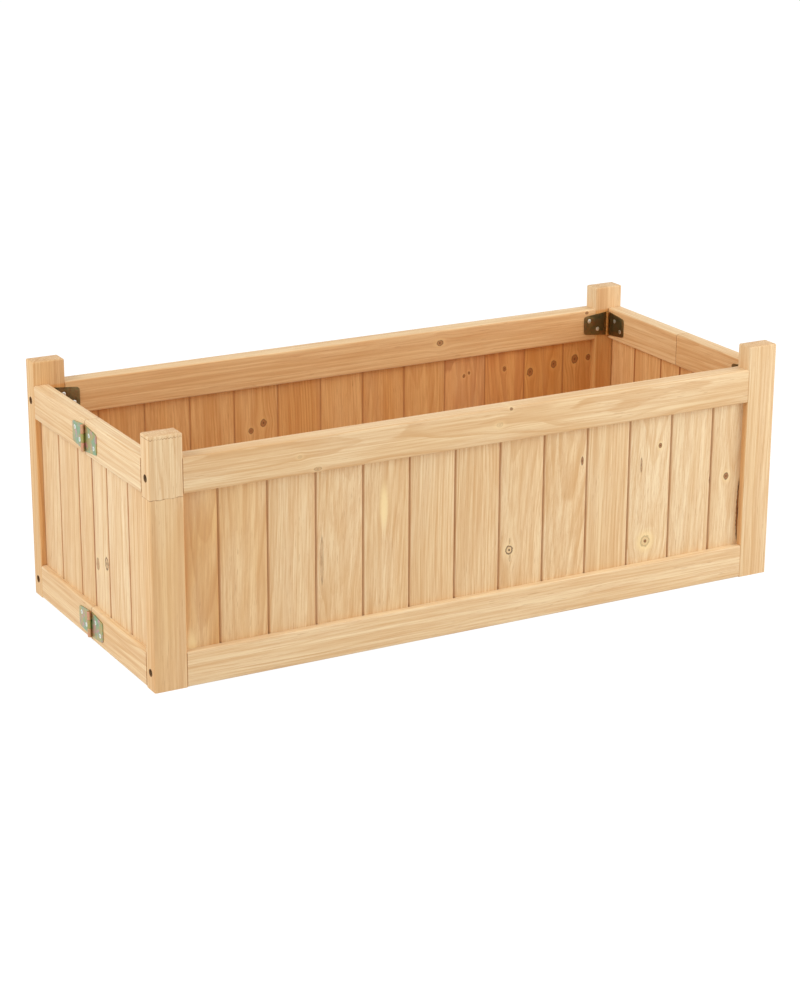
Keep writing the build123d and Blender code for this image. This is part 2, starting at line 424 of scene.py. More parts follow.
    @staticmethod
    def _finger_joint() -> bpy.types.NodeTree:
        """Zig-zag line where two lengths of timber are glued end to end."""
        group = EffectGroup("Finger joint", {
            "Place": ("Vector", (0, 0, 0)), "Height": ("Float", 270.0), "Tooth": ("Float", 4.0),
            "Reach": ("Float", 2.0)}, {"Above": "Float", "Line": "Float"})
        sheet, given = group.sheet, group.given
        split = sheet.add("ShaderNodeSeparateXYZ", {0: given["Place"]}).outputs
        wave = sheet.math("DIVIDE", sheet.math("PINGPONG", split["X"], given["Tooth"]), given["Tooth"])
        base = sheet.math("MULTIPLY_ADD", wave, given["Reach"], given["Height"])
        over = sheet.math("SUBTRACT", split["Z"], base)
        patchy = sheet.span(sheet.noise(given["Place"], 0.15, 1.0), 0.40, 0.62, 0.35, 1.0)
        line = sheet.span(sheet.math("ABSOLUTE", over), 0.2, 0.9, 1.0, 0.0)
        return group.put_out(Above=sheet.span(over, -0.2, 0.2), Line=sheet.math("MULTIPLY", line, patchy))


def empty_material(name: str) -> tuple[bpy.types.Material, NodeSheet]:
    """Makes a material without nodes, and a sheet to add them."""
    made = bpy.data.materials.new(name)
    made.use_nodes = True
    made.node_tree.nodes.clear()
    return made, NodeSheet(made.node_tree)


def show(sheet: NodeSheet, shader: Socket) -> None:
    """Adds the material's output."""
    sheet.feed(sheet.add("ShaderNodeOutputMaterial").inputs["Surface"], shader)


@dataclass(frozen=True)
class Fir:
    """Bare planed fir with growth rings, fibres, knots and painted shade along the edges."""

    effects: WoodEffects
    roughness: float = 0.62
    relief: float = 0.00035
    specular: float = 0.35

    def material(self, name: str, board: BoardFrame, look: BoardLook, chance: random.Random,
                 glued: tuple[GluedLength, ...] = (), painted_edge_shade: float = 0.0,
                 inner: float = 0.5, bores: Iterable[Vector] = ()) -> bpy.types.Material:
        """Makes one board's material.

        Args:
            name: The material's name.
            board: Where the board lies.
            look: Its timber.
            chance: Seeded source of the place in the log.
            glued: Finger joints across it.
            painted_edge_shade: Strength of the painted shade along its two long edges, where the V-grooves lie in
                shadow.
            inner: Strength of the painted shade and warm bounce light on its inner face, which the box keeps from the
                lamps.
            bores: Points on the axes, along X, of screw holes, whose walls and floor get painted shade and whose rims
                get a scorch mark.

        Returns:
            The material.
        """
        made, sheet = empty_material(name)
        place = sheet.vector("SCALE", sheet.add("ShaderNodeTexCoord").outputs["Object"], scale=1 / MM)
        bent, distances = place, []
        for knot in look.knots:
            pull = sheet.group(self.effects.knot_pull, {
                "Place": place, "Centre": board.spot(knot), "Along": board.along, "Outward": board.outward,
                "Radius": knot.radius, "Stretch": knot.stretch})
            bent = sheet.vector("ADD", bent, pull.outputs["Shift"])
            distances.append((pull.outputs["Distance"], knot))
        colour, height = self._timber(sheet, bent, board, look, chance)
        for joint in glued:
            seam = sheet.group(self.effects.seam, {"Place": place, "Height": joint.height,
                                                   "Tooth": joint.tooth, "Reach": joint.reach})
            if joint.look is not None:
                other, _ = self._timber(sheet, place, board, joint.look, chance)
                colour = sheet.mix(seam.outputs["Above"], colour, other)
            colour = sheet.mix(sheet.math("MULTIPLY", seam.outputs["Line"], 0.75), colour, srgb(150, 96, 52))
        for distance, knot in distances:
            colour = sheet.group(self.effects.knot_face, {"Color": colour, "Distance": distance,
                                                          "Heart": knot.heart, "Halo": knot.halo,
                                                          "Fill": knot.fill}).outputs[0]
        # Painted shade in the V-grooves along the board's long edges.
        if painted_edge_shade:
            colour = self._painted_groove_shade(sheet, place, board, colour, painted_edge_shade)
        # Painted shade in the screw holes, with a scorched rim round them.
        for bore in bores:
            flat = sheet.vector("MULTIPLY", sheet.vector("SUBTRACT", place, bore), (0.0, 1.0, 1.0))
            scorch_and_shade = sheet.span(sheet.vector("LENGTH", flat), SCORCH_AND_SHADE_RADII[0], SCORCH_AND_SHADE_RADII[1], 0.85, 0.0)
            colour = sheet.mix(scorch_and_shade, colour, srgb(92, 58, 32))
        self._shade(sheet, place, board, colour, height, inner)
        return made

    @staticmethod
    def _log_frame(board: BoardFrame, saw: Sawing, chance: random.Random) -> tuple[Matrix, Vector]:
        """Turn and shift from the bed's frame to the log's, whose X axis is the pith.

        Args:
            board: Where the board lies.
            saw: How it was cut.
            chance: Seeded source of the place along the log.

        Returns:
            The rotation, and the shift after it.
        """
        turn = Matrix((Vector(board.along), board.across(), Vector(board.outward)))
        slope = math.radians(saw.drift)
        turn = Matrix.Rotation(slope, 3, "Z") @ Matrix.Rotation(slope, 3, "Y") @ turn
        angle = math.radians(saw.pith_angle)
        offset = Vector((chance.uniform(-4000, 4000), saw.pith_distance * math.sin(angle),
                         saw.pith_distance * math.cos(angle)))
        return turn, offset - turn @ Vector(board.middle)

    def _timber(self, sheet: NodeSheet, place: Socket, board: BoardFrame, look: BoardLook,
                chance: random.Random) -> tuple[Socket, Socket]:
        """Colour and height of the grain.

        Args:
            sheet: The material's nodes.
            place: Object coordinates in millimetres, bent round the knots.
            board: Where the board lies.
            look: Its timber.
            chance: Seeded source of the place in the log.

        Returns:
            The colour and the height.
        """
        turn, shift = self._log_frame(board, look.sawing, chance)
        log = sheet.add("ShaderNodeMapping", {"Vector": place, "Location": shift,
                                              "Rotation": turn.to_euler("XYZ")}).outputs[0]
        rings = sheet.group(self.effects.rings, {"Log": log, "Ring width": look.sawing.ring}).outputs
        fibre = sheet.group(self.effects.fibre, {"Log": log}).outputs
        early, late = look.tone.value
        strength = sheet.span(rings["Year"], 0.0, 1.0, 0.35 * look.figure, 1.1 * look.figure)
        late_share = sheet.math("MULTIPLY", rings["Late wood"], strength, clamp=True)
        colour = sheet.mix(late_share, early, late)
        colour = sheet.mix(sheet.span(rings["Bands"], 0.40, 0.62, 0.0, 0.50), colour, late)
        colour = sheet.mix(sheet.span(fibre["Mottle"], 0.38, 0.70, 0.0, 0.25), colour, srgb(248, 228, 190))
        colour = sheet.mix(sheet.span(fibre["Fibre"], 0.36, 0.58, 0.50, 0.0), colour, srgb(206, 154, 100))
        colour = sheet.mix(sheet.math("MULTIPLY", fibre["Dashes"], 0.32), colour, srgb(170, 112, 62))
        return colour, sheet.math("MULTIPLY_ADD", late_share, 0.5, fibre["Fibre"])

    @staticmethod
    def _painted_groove_shade(sheet: NodeSheet, place: Socket, board: BoardFrame, colour: Socket,
                    strength: float) -> Socket:
        """Paints shade into the bevels along both long edges, where the V-grooves lie in shadow, and returns the
        colour.
        """
        across = board.across()
        offset = sheet.math("SUBTRACT", sheet.vector("DOT_PRODUCT", place, across),
                            across.dot(Vector(board.middle)))
        edge = sheet.span(sheet.math("ABSOLUTE", offset), board.half_width - 2.6, board.half_width - 0.8,
                          0.0, strength)
        return sheet.mix(edge, colour, srgb(168, 98, 46))

    def _shade(self, sheet: NodeSheet, place: Socket, board: BoardFrame, colour: Socket,
               height: Socket, inner: float) -> None:
        """Adds the painted shade and warm bounce light of the inner faces, end grain, the shader and the output."""
        normal = sheet.add("ShaderNodeTexCoord").outputs["Normal"]
        # Painted shade and warm bounce light on faces that look into the box.
        inside_shade_share = sheet.span(sheet.vector("DOT_PRODUCT", normal, board.outward), -0.9, -0.5, inner, 0.0)
        # On a post, painted shade also falls on the side towards the slats below the rail tops, and less of it on the
        # inner face towards the outer end and above the rails.
        if board.post:
            inside = sheet.vector("SUBTRACT", place, board.middle)
            depth = sheet.vector("DOT_PRODUCT", inside, board.outward)
            across = board.across()
            slatwards = across * (-1.0 if across.dot(Vector(board.middle)) > 0 else 1.0)
            side = sheet.span(sheet.vector("DOT_PRODUCT", normal, slatwards), 0.4, 0.6)
            level = sheet.add("ShaderNodeSeparateXYZ", {0: place}).outputs["Z"]
            post_side_shade = sheet.math("MULTIPLY", sheet.math("MULTIPLY", side, sheet.span(depth, -4.0, -3.0, inner, 0.55)),
                              sheet.span(level, 318.0, 322.0, 1.0, 0.0))
            behind = sheet.span(sheet.vector("DOT_PRODUCT", inside, slatwards), -14.0, -9.0, 0.6, 1.0)
            face = sheet.math("MULTIPLY", behind, sheet.span(level, 318.0, 322.0, 1.0, 0.35))
            inside_shade_share = sheet.math("MAXIMUM", post_side_shade, sheet.math("MULTIPLY", inside_shade_share, face))
        colour = sheet.mix(inside_shade_share, colour, PAINTED_INSIDE_SHADE, "MULTIPLY")
        facing = sheet.math("ABSOLUTE", sheet.vector("DOT_PRODUCT", normal, board.along))
        specks = sheet.span(sheet.noise(place, 0.9), 0.40, 0.65, 0.45, 0.0)
        sawn = sheet.mix(specks, colour, srgb(176, 120, 70))
        colour = sheet.mix(sheet.span(facing, 0.75, 0.95, 0.0, 0.8), colour, sawn)
        rough = sheet.span(height, 0.3, 1.3, self.roughness - 0.08, self.roughness + 0.10)
        bump = sheet.add("ShaderNodeBump", {"Height": height, "Strength": 0.5, "Distance": self.relief})
        shader = sheet.add("ShaderNodeBsdfPrincipled", {
            "Base Color": colour, "Roughness": rough, "Normal": bump.outputs[0],
            "Specular IOR Level": self.specular})
        show(sheet, shader.outputs[0])


@dataclass(frozen=True)
class Zinc:
    """Yellow-passivated zinc plating with its iridescent green, gold and pink."""

    name: str
    base: Colour
    green: Colour
    blush: Colour
    roughness: float
    change: float
    tint: float

    def material(self) -> bpy.types.Material:
        """Makes the plating's material."""
        made, sheet = empty_material(self.name)
        place = sheet.vector("SCALE", sheet.add("ShaderNodeTexCoord").outputs["Object"], scale=1 / MM)
        film = sheet.noise(place, self.change, 2.0, 0.55)
        other = sheet.noise(sheet.vector("ADD", place, (310.0, 170.0, 40.0)), self.change * 1.7, 2.0, 0.6)
        colour = sheet.mix(sheet.span(film, 0.40, 0.62, 0.0, self.tint), self.base, self.green)
        colour = sheet.mix(sheet.span(other, 0.50, 0.68, 0.0, self.tint), colour, self.blush)
        scuffs = sheet.noise(place, (0.9, 0.9, 0.26), 3.0, 0.7)
        colour = sheet.mix(sheet.span(scuffs, 0.56, 0.74, 0.0, 0.35), colour, srgb(90, 86, 66))
        rough = sheet.span(scuffs, 0.3, 0.7, self.roughness - 0.08, self.roughness + 0.12)
        bump = sheet.add("ShaderNodeBump", {"Height": scuffs, "Strength": 0.25, "Distance": 0.0001})
        shader = sheet.add("ShaderNodeBsdfPrincipled", {"Base Color": colour, "Roughness": rough,
                                                        "Normal": bump.outputs[0], "Metallic": 1.0})
        show(sheet, shader.outputs[0])
        return made


class Workshop:
    """Makes shapes in millimetres, cuts and joins them, and hangs finished pieces on the bed's bodies."""

    def __init__(self) -> None:
        """Builds the finishes that every sub-assembly shares."""
        self.fir = Fir(WoodEffects())
        self.plating = Zinc("Hinge zinc", srgb(176, 166, 112), srgb(128, 168, 136), srgb(200, 146, 158),
                            0.36, 0.07, 0.85).material()
        # Darker copy of the hinge zinc for the corner hinges: painted shade, as they sit in the shaded inner corners.
        self.shaded = Zinc("Corner hinge zinc", srgb(136, 120, 82), srgb(104, 104, 76), srgb(142, 106, 74),
                           0.36, 0.07, 0.8).material()
        self.brass = Zinc("Brass knuckle zinc", srgb(206, 152, 84), srgb(178, 140, 80), srgb(212, 138, 92),
                          0.36, 0.2, 0.6).material()
        self.olive = Zinc("Olive knuckle zinc", srgb(168, 160, 96), srgb(150, 160, 100), srgb(180, 150, 110),
                          0.38, 0.2, 0.5).material()
        self.copper = Zinc("Copper knuckle zinc", srgb(206, 150, 118), srgb(186, 160, 110),
                           srgb(214, 146, 140), 0.38, 0.2, 0.6).material()
        self.bright = Zinc("Screw zinc", srgb(238, 242, 240), srgb(214, 226, 214), srgb(236, 224, 196),
                           0.38, 0.2, 0.5).material()
        self.dull = Zinc("Post screw zinc", srgb(168, 164, 134), srgb(150, 160, 130), srgb(164, 138, 104),
                         0.42, 0.2, 0.5).material()

    @staticmethod
    def block(size: Point, middle: Point = (0.0, 0.0, 0.0)) -> Shape:
        """Makes a box of a size about a point."""
        shape = bmesh.new()
        bmesh.ops.create_cube(shape, size=1.0)
        bmesh.ops.scale(shape, vec=size, verts=shape.verts)
        bmesh.ops.translate(shape, vec=middle, verts=shape.verts)
        return shape

    @staticmethod
    def ease(shape: Shape, axis: int | None, radius: float, segments: int,
             keep: Callable[[bmesh.types.BMEdge], bool] = lambda edge: True) -> None:
        """Rounds sharp edges.

        Args:
            shape: The shape to change.
            axis: Only edges along this axis, or all where it is None.
            radius: Radius of the rounding.
            segments: Number of flats.
            keep: Test that an edge has to pass.
        """
        chosen = []
        for edge in shape.edges:
            way = edge.verts[1].co - edge.verts[0].co
            straight = axis is None or abs(way[axis]) > 0.99 * way.length
            if straight and edge.is_manifold and edge.calc_face_angle(0.0) > 0.6 and keep(edge):
                chosen.append(edge)
        bmesh.ops.bevel(shape, geom=chosen, offset=radius, offset_type="OFFSET", segments=segments,
                        profile=0.5, affect="EDGES", material=-1, clamp_overlap=True)

    @staticmethod
    def turned(steps: list[tuple[float, float]], sides: int) -> Shape:
        """Makes a closed turned shape about Z.

        Args:
            steps: Height and radius of each step, from one end to the other.
            sides: Number of faces round the axis.

        Returns:
            The shape.
        """
        shape = bmesh.new()
        points = [(0.0, steps[0][0]), *((radius, height) for height, radius in steps), (0.0, steps[-1][0])]
        verts = [shape.verts.new((radius, 0.0, height)) for radius, height in points]
        edges = [shape.edges.new(pair) for pair in zip(verts, verts[1:])]
        bmesh.ops.spin(shape, geom=verts + edges, cent=(0, 0, 0), axis=(0, 0, 1), angle=math.tau,
                       steps=sides, use_merge=True, use_duplicate=False)
        bmesh.ops.remove_doubles(shape, verts=shape.verts, dist=1e-4)
        bmesh.ops.recalc_face_normals(shape, faces=shape.faces)
        return shape

    @staticmethod
    def drawn(outline: list[Point], way: Point) -> Shape:
        """Makes a straight bar by drawing a flat outline along a vector."""
        shape = bmesh.new()
        face = shape.faces.new([shape.verts.new(point) for point in outline])
        result = bmesh.ops.extrude_face_region(shape, geom=[face], use_keep_orig=True)
        moved = [item for item in result["geom"] if isinstance(item, bmesh.types.BMVert)]
        bmesh.ops.translate(shape, vec=way, verts=moved)
        bmesh.ops.recalc_face_normals(shape, faces=shape.faces)
        return shape

    @staticmethod
    def mesh_object(name: str, shape: Shape) -> bpy.types.Object:
        """Turns a shape into an object in the scene, and frees the shape."""
        mesh = bpy.data.meshes.new(name)
        shape.to_mesh(mesh)
        shape.free()
        made = bpy.data.objects.new(name, mesh)
        bpy.context.scene.collection.objects.link(made)
        return made

    def combined(self, body: Shape, tool: Shape, operation: str = "DIFFERENCE") -> Shape:
        """Cuts a tool out of a body, or joins it on.

        Args:
            body: The shape to change; it is freed.
            tool: The shape to cut with or add; it is freed.
            operation: DIFFERENCE or UNION.

        Returns:
            The result.
        """
        first, second = self.mesh_object("body", body), self.mesh_object("tool", tool)
        change = first.modifiers.new("change", "BOOLEAN")
        change.object, change.operation, change.solver = second, operation, "EXACT"
        bpy.context.view_layer.update()
        result = bmesh.new()
        result.from_object(first, bpy.context.evaluated_depsgraph_get())
        for used in (first, second):
            mesh = used.data
            bpy.data.objects.remove(used)
            bpy.data.meshes.remove(mesh)
        bmesh.ops.remove_doubles(result, verts=result.verts, dist=1e-4)
        return result

    @staticmethod
    def together(shapes: Iterable[Shape]) -> Shape:
        """Puts separate shapes into one, and frees them."""
        whole = bmesh.new()
        for shape in shapes:
            mesh = bpy.data.meshes.new("part")
            shape.to_mesh(mesh)
            shape.free()
            whole.from_mesh(mesh)
            bpy.data.meshes.remove(mesh)
        return whole

    @staticmethod
    def moved(shape: Shape, place: Matrix) -> Shape:
        """Copies a shape to a new place."""
        twin = shape.copy()
        bmesh.ops.transform(twin, matrix=place, verts=twin.verts)
        return twin

    def hang(self, name: str, shape: Shape, material: bpy.types.Material, node: str, slot: str,
             second: bpy.types.Material | None = None, smooth: float = 40.0) -> None:
        """Makes a finished piece in metres that stands for a node of the frame and moves with its body.

        Args:
            name: The piece's name.
            shape: Its shape in millimetres, which is freed.
            material: Its finish.
            node: The node that it stands for.
            slot: The record's material slot; not used.
            second: The finish of the faces whose material index is 1.
            smooth: Edges flatter than this, in degrees, are shaded smooth.
        """
        bmesh.ops.scale(shape, vec=(MM, MM, MM), verts=shape.verts)
        piece = self.mesh_object(name, shape)
        piece.data.materials.append(material)
        if second is not None:
            piece.data.materials.append(second)
        piece.data.shade_smooth()
        piece.data.set_sharp_from_angle(angle=math.radians(smooth))
        body = frame["nodes"][node]["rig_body"]
        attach(piece, body)
        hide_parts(node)
        LOG.info("%s: %d faces, rides on %s", name, len(piece.data.polygons), body)


@dataclass(frozen=True)
class Timber:
    """Sections and places of the bed's timber, in millimetres, as in the CAD model."""

    length: float = 1000.0
    width: float = 438.0
    height: float = 356.0
    post_width: float = 48.0
    post_depth: float = 28.0
    post_round: float = 2.0
    rail_height: float = 50.0
    rail_round: float = 3.0
    end_rail_depth: float = 24.0
    top_rail_middle: float = 297.0
    bottom_rail_middle: float = 25.0
    slat_depth: float = 7.0
    slat_base: float = 40.5
    slat_top: float = 281.0
    slat_pitch: float = 72.5
    face_bevel: float = 2.0
    face_gap: float = 0.4
    tongue: float = 4.0
    tongue_depth: float = 2.4
    tongue_clearance: float = 0.15
    rail_groove: float = 9.5
    post_groove: float = 5.5
    groove_width: float = 7.3

    def post_middle(self, end: End, depth: Depth) -> Point:
        """Middle of a corner post."""
        return (end.value * (self.length - self.post_width) / 2,
                depth.value * (self.width - self.post_depth) / 2, self.height / 2)


@dataclass(frozen=True)
class HingeSizes:
    """Sizes of a back-flap hinge, in millimetres, in its own frame: pin along Z, timber at +Y."""

    height: float = 38.0
    reach: float = 42.0
    tip_height: float = 29.0
    thickness: float = 1.5
    tip_round: float = 4.0
    rim_round: float = 0.25
    seat: float = 3.5
    pin_radius: float = 1.65
    bore: float = 1.7
    knuckle_radius: float = 3.04
    gap: float = 0.25
    screws: tuple[tuple[float, float], ...] = ((17.0, 7.0), (33.0, -7.0))
    head_radius: float = 3.3
    shank_radius: float = 1.7
    screw_length: float = 17.0
    sides: int = 28


@dataclass(frozen=True)
class Slat:
    """One tongue-and-groove slat from start to stop along X, bevelled face at -Y."""

    start: float
    stop: float
    grooved: bool
    tongued: bool

    def outline(self, timber: Timber) -> list[Point]:
        """Section of the slat, at the height of its foot."""
        half, bevel = timber.slat_depth / 2, timber.face_bevel
        tongue, slot = timber.tongue_depth / 2, timber.tongue_depth / 2 + timber.tongue_clearance
        deep = timber.tongue + timber.tongue_clearance
        points = [(self.start, -half + bevel), (self.start + bevel, -half)] if self.grooved else [
            (self.start, -half)]
        points += [(self.stop - bevel, -half), (self.stop, -half + bevel), (self.stop, -tongue),
                   (self.stop + timber.tongue, -tongue), (self.stop + timber.tongue, tongue),
                   (self.stop, tongue)] if self.tongued else [(self.stop, -half)]
        points += [(self.stop, half), (self.start, half)]
        if self.grooved:
            points += [(self.start, slot), (self.start + deep, slot), (self.start + deep, -slot),
                       (self.start, -slot)]
        return [(x, y, timber.slat_base) for x, y in points]


def slat_row(edges: list[float], gap: float) -> list[Slat]:
    """Slats between neighbouring edges; the inner edges are joints and the outer two are plain."""
    last = len(edges) - 2
    return [Slat(edges[index] + (gap / 2 if index else 0.0),
                 edges[index + 1] - (gap / 2 if index < last else 0.0), index > 0, index < last)
            for index in range(last + 1)]


class HingeMaker:
    """Makes the leaves, pins and screws of every hinge, from one pattern for each."""

    def __init__(self, workshop: Workshop, sizes: HingeSizes = HingeSizes()) -> None:
        """Makes the patterns."""
        self.workshop, self.sizes = workshop, sizes
        self.leaves = {hand: self._leaf(hand) for hand in Hand}
        self.screw = self._screw()
        self.pin = self._pin()

    def knuckle_finish(self, hand: Hand) -> bpy.types.Material:
        """Finish of a leaf's knuckles."""
        return self.workshop.olive if hand is Hand.RIGHT else self.workshop.copper

    def _spans(self, hand: Hand) -> list[tuple[float, float]]:
        """Middle and height of each of a leaf's own knuckles."""
        step = (self.sizes.height + self.sizes.gap) / 3
        return [(index * step, step - self.sizes.gap) for index in ((0,) if hand is Hand.RIGHT else (-1, 1))]

    def _leaf(self, hand: Hand) -> Shape:
        """Makes a tapered leaf with rolled knuckles and countersunk holes."""
        size, shop = self.sizes, self.workshop
        other = Hand.LEFT if hand is Hand.RIGHT else Hand.RIGHT
        near = size.seat - size.thickness
        outline = [(0.0, near, -size.height / 2), (size.reach, near, -size.tip_height / 2),
                   (size.reach, near, size.tip_height / 2), (0.0, near, size.height / 2)]
        leaf = shop.drawn(outline, (0.0, size.thickness, 0.0))
        shop.ease(leaf, 1, size.tip_round, 6, lambda edge: edge.verts[0].co.x > 1.0)
        shop.ease(leaf, None, size.rim_round, 2, lambda edge: all(vert.co.x > 0.5 for vert in edge.verts))
        for middle, height in self._spans(other):
            wide = 2 * (size.knuckle_radius + size.gap)
            leaf = shop.combined(leaf, shop.block((wide, 4 * size.seat, height + 2 * size.gap),
                                                  (0.0, 0.0, middle)))
        for middle, height in self._spans(hand):
            low, high, lip = middle - height / 2, middle + height / 2, 0.3
            knuckle = shop.turned([(low, size.knuckle_radius - lip), (low + lip, size.knuckle_radius),
                                   (high - lip, size.knuckle_radius), (high, size.knuckle_radius - lip)],
                                  size.sides)
            leaf = shop.combined(leaf, knuckle, "UNION")
            leaf = shop.combined(leaf, shop.block((2.4, 0.22, height + 1), (2.3, near - 0.11, middle)))
        bore = shop.turned([(-size.height, size.bore), (size.height, size.bore)], size.sides)
        leaf = shop.combined(leaf, bore)
        for place in self._screw_places():
            sink = shop.turned([(-1.0, size.head_radius + 0.15), (0.0, size.head_radius + 0.15),
                                (size.thickness + 0.1, size.shank_radius + 0.15),
                                (size.thickness + 1, size.shank_radius + 0.15)], size.sides)
            leaf = shop.combined(leaf, shop.moved(sink, place))
            sink.free()
        for face in leaf.faces:
            if face.calc_center_median().xy.length < size.knuckle_radius + 0.02:
                face.material_index = 1
        if hand is Hand.LEFT:
            bmesh.ops.rotate(leaf, cent=(0, 0, 0), matrix=Matrix.Rotation(math.pi, 3, "Y"), verts=leaf.verts)
        return leaf

    def _screw_places(self) -> list[Matrix]:
        """Places of a right-hand leaf's screws, from a screw along +Z."""
        face = self.sizes.seat - self.sizes.thickness
        return [Matrix.Translation((x, face, z)) @ Matrix.Rotation(-math.pi / 2, 4, "X")
                for x, z in self.sizes.screws]

    def _screw(self) -> Shape:
        """Makes a countersunk screw along +Z, its slightly domed head at Z = 0, with a cross recess."""
        size = self.sizes
        steps = [(-0.38, 0.9), (-0.30, 1.9), (-0.14, 2.8), (0.0, size.head_radius),
                 (size.thickness, size.shank_radius), (size.screw_length - 4.2, size.shank_radius),
                 (size.screw_length, 0.25)]
        screw = self.workshop.turned(steps, size.sides)
        for turn in (0.0, math.pi / 2):
            slot = self.workshop.block((3.7, 0.85, 2.4), (0.0, 0.0, 0.4))
            bmesh.ops.rotate(slot, cent=(0, 0, 0), matrix=Matrix.Rotation(turn + 0.4, 3, "Z"),
                             verts=slot.verts)
            screw = self.workshop.combined(screw, slot)
        return screw

    def _pin(self) -> Shape:
        """Makes a pin with eased ends."""
        half, radius = self.sizes.height / 2, self.sizes.pin_radius
        return self.workshop.turned([(-half, radius - 0.5), (-half + 0.15, radius - 0.2),
                                     (-half + 0.4, radius), (half - 0.4, radius),
                                     (half - 0.15, radius - 0.2), (half, radius - 0.5)], 24)

    def at_rails(self, shape: Shape, pin: tuple[float, float], turn: float) -> list[Shape]:
        """Copies a hinge's shape to the middle of the top rails and of the bottom rails."""
        return [self.workshop.moved(shape, place) for place in self.places(pin, turn)]

    @staticmethod
    def places(pin: tuple[float, float], turn: float) -> list[Matrix]:
        """Places of a pin's top and bottom hinges."""
        timber = Timber()
        return [Matrix.Translation((*pin, height)) @ Matrix.Rotation(math.radians(turn), 4, "Z")
                for height in (timber.top_rail_middle, timber.bottom_rail_middle)]

    def screw_matrices(self, pin: tuple[float, float], turn: float, hand: Hand) -> list[Matrix]:
        """Places of the four screws that hold a leaf at the top and at the bottom."""
        flip = Matrix.Rotation(math.pi if hand is Hand.LEFT else 0.0, 4, "Y")
        return [place @ flip @ screw for place in self.places(pin, turn) for screw in self._screw_places()]

    def pilots(self, matrices: Iterable[Matrix]) -> list[Shape]:
        """Cutters of the timber's holes for hinge screws."""
        size = self.sizes
        hole = self.workshop.turned([(size.thickness - 3, size.shank_radius + 0.1),
                                     (size.screw_length + 0.3, size.shank_radius + 0.1)], 16)
        cutters = [self.workshop.moved(hole, place) for place in matrices]
        hole.free()
        return cutters


@dataclass(frozen=True)
class PostScrews:
    """Long countersunk screws through a post into its two rails, in millimetres."""

    head_radius: float = 4.7
    cone: float = 2.3
    shank_radius: float = 2.4
    length: float = 78.0
    recess: float = 3.0
    bore_radius: float = 5.2

    def places(self, timber: Timber, end: End, depth: Depth) -> list[Matrix]:
        """Places of a post's two screws, from a screw along +Z."""
        x = end.value * (timber.length / 2 - self.recess)
        y = depth.value * (timber.width - timber.post_depth) / 2
        turn = Matrix.Rotation(-math.pi / 2 * end.value, 4, "Y")
        return [Matrix.Translation((x, y, z)) @ turn
                for z in (timber.top_rail_middle, timber.bottom_rail_middle)]

    def screw(self, workshop: Workshop) -> Shape:
        """Makes the screw, with a cross recess."""
        shape = workshop.turned([(0.0, self.head_radius), (self.cone, self.shank_radius),
                                 (self.length - 6, self.shank_radius), (self.length, 0.3)], 24)
        for turn in (0.0, math.pi / 2):
            slot = workshop.block((4.4, 1.0, 2.6), (0.0, 0.0, 0.5))
            bmesh.ops.rotate(slot, cent=(0, 0, 0), matrix=Matrix.Rotation(turn + 0.7, 3, "Z"),
                             verts=slot.verts)
            shape = workshop.combined(shape, slot)
        return shape

    def hole(self, workshop: Workshop) -> Shape:
        """Cutter of the screw's own hole, with its counterbore."""
        return workshop.turned([(-2 * self.recess, self.bore_radius), (0.0, self.bore_radius),
                                (self.cone, self.shank_radius + 0.1),
                                (self.length + 0.3, self.shank_radius + 0.1)], 24)


# Front slats from left to right. Their tones run from amber and honey at the left to cream at the right: partly the
# boards' own tones, partly painted shade for the light that falls off towards the left.
FRONT_SLATS: tuple[BoardLook, ...] = (
    BoardLook(Tone.AMBER, Sawing(52, 14, 3, 6), 0.5, (Knot(-441, 50, 3.4, 3.6, 0.0, 0.85, 0.0),)),
    BoardLook(Tone.HONEY, Sawing(46, 8, 2, 4.5), 0.5),
    BoardLook(Tone.STRAW, Sawing(70, -50, 1.5, 4), 0.5),
    BoardLook(Tone.STRAW, Sawing(48, 6, 3, 5), 0.6, (Knot(-245, 142, 2.2, 14.0, 0.35, 0.0, 0.3),)),
    BoardLook(Tone.STRAW, Sawing(60, -30, 2, 5), 0.5, (Knot(-149, 205, 3.0, 5.0, 0.0, 0.9, 0.0),)),
    BoardLook(Tone.STRAW, Sawing(70, 64, 1, 3.6), 0.6),
    BoardLook(Tone.STRAW, Sawing(66, 55, 1.5, 4), 0.65),
    BoardLook(Tone.STRAW, Sawing(64, -14, 2, 5), 0.45, (
        Knot(53.1, 106.8, 5.0, 1.15, 1.0, 0.3, 0.15), Knot(54.5, 96, 1.6, 4.0, 0.25, 0.0, 0.3),
        Knot(54, 120, 0.8, 5.0, 0.5, 0.0, 0.3))),
    BoardLook(Tone.STRAW, Sawing(40, 6, 4, 6), 0.75, (Knot(172.8, 221.5, 1.9, 3.0, 0.9, 0.0, 0.9),)),
    BoardLook(Tone.STRAW, Sawing(66, 58, 1, 4), 0.5),
    BoardLook(Tone.CREAM, Sawing(44, 5, 3, 5), 0.6, (
        Knot(286.2, 81.6, 7.0, 1.1, 0.35, 0.9, 0.25), Knot(286.2, 81.6, 1.9, 1.2, 0.9, 0.0, 0.9),
        Knot(307.2, 225.0, 2.6, 1.3, 0.9, 0.6, 0.9), Knot(275.1, 200.1, 1.5, 6.5, 0.6, 0.0, 0.6))),
    BoardLook(Tone.CREAM, Sawing(56, -16, 2, 5), 0.4, (Knot(398, 158, 1.6, 3.0, 0.9, 0.0, 0.9),)),
    BoardLook(Tone.CREAM, Sawing(50, 9, 2.5, 5.5), 0.45, (
        Knot(427.1, 160.3, 3.8, 1.25, 0.75, 0.5, 0.9), Knot(452.2, 103.1, 3.2, 13.0, 1.0, 0.0, 1.0))),
)

BACK_SLAT_KNOTS: tuple[tuple[float, float, float], ...] = (
    (-133, 212.4, 4.4), (-154.1, 202.8, 3.6), (216.1, 239.9, 2.2), (225.1, 243.6, 2.0), (290, 242, 3.0),
    (337.6, 230.5, 5.0), (381.6, 238, 4.6), (421, 241.3, 5.4), (446.7, 241.3, 3.6))


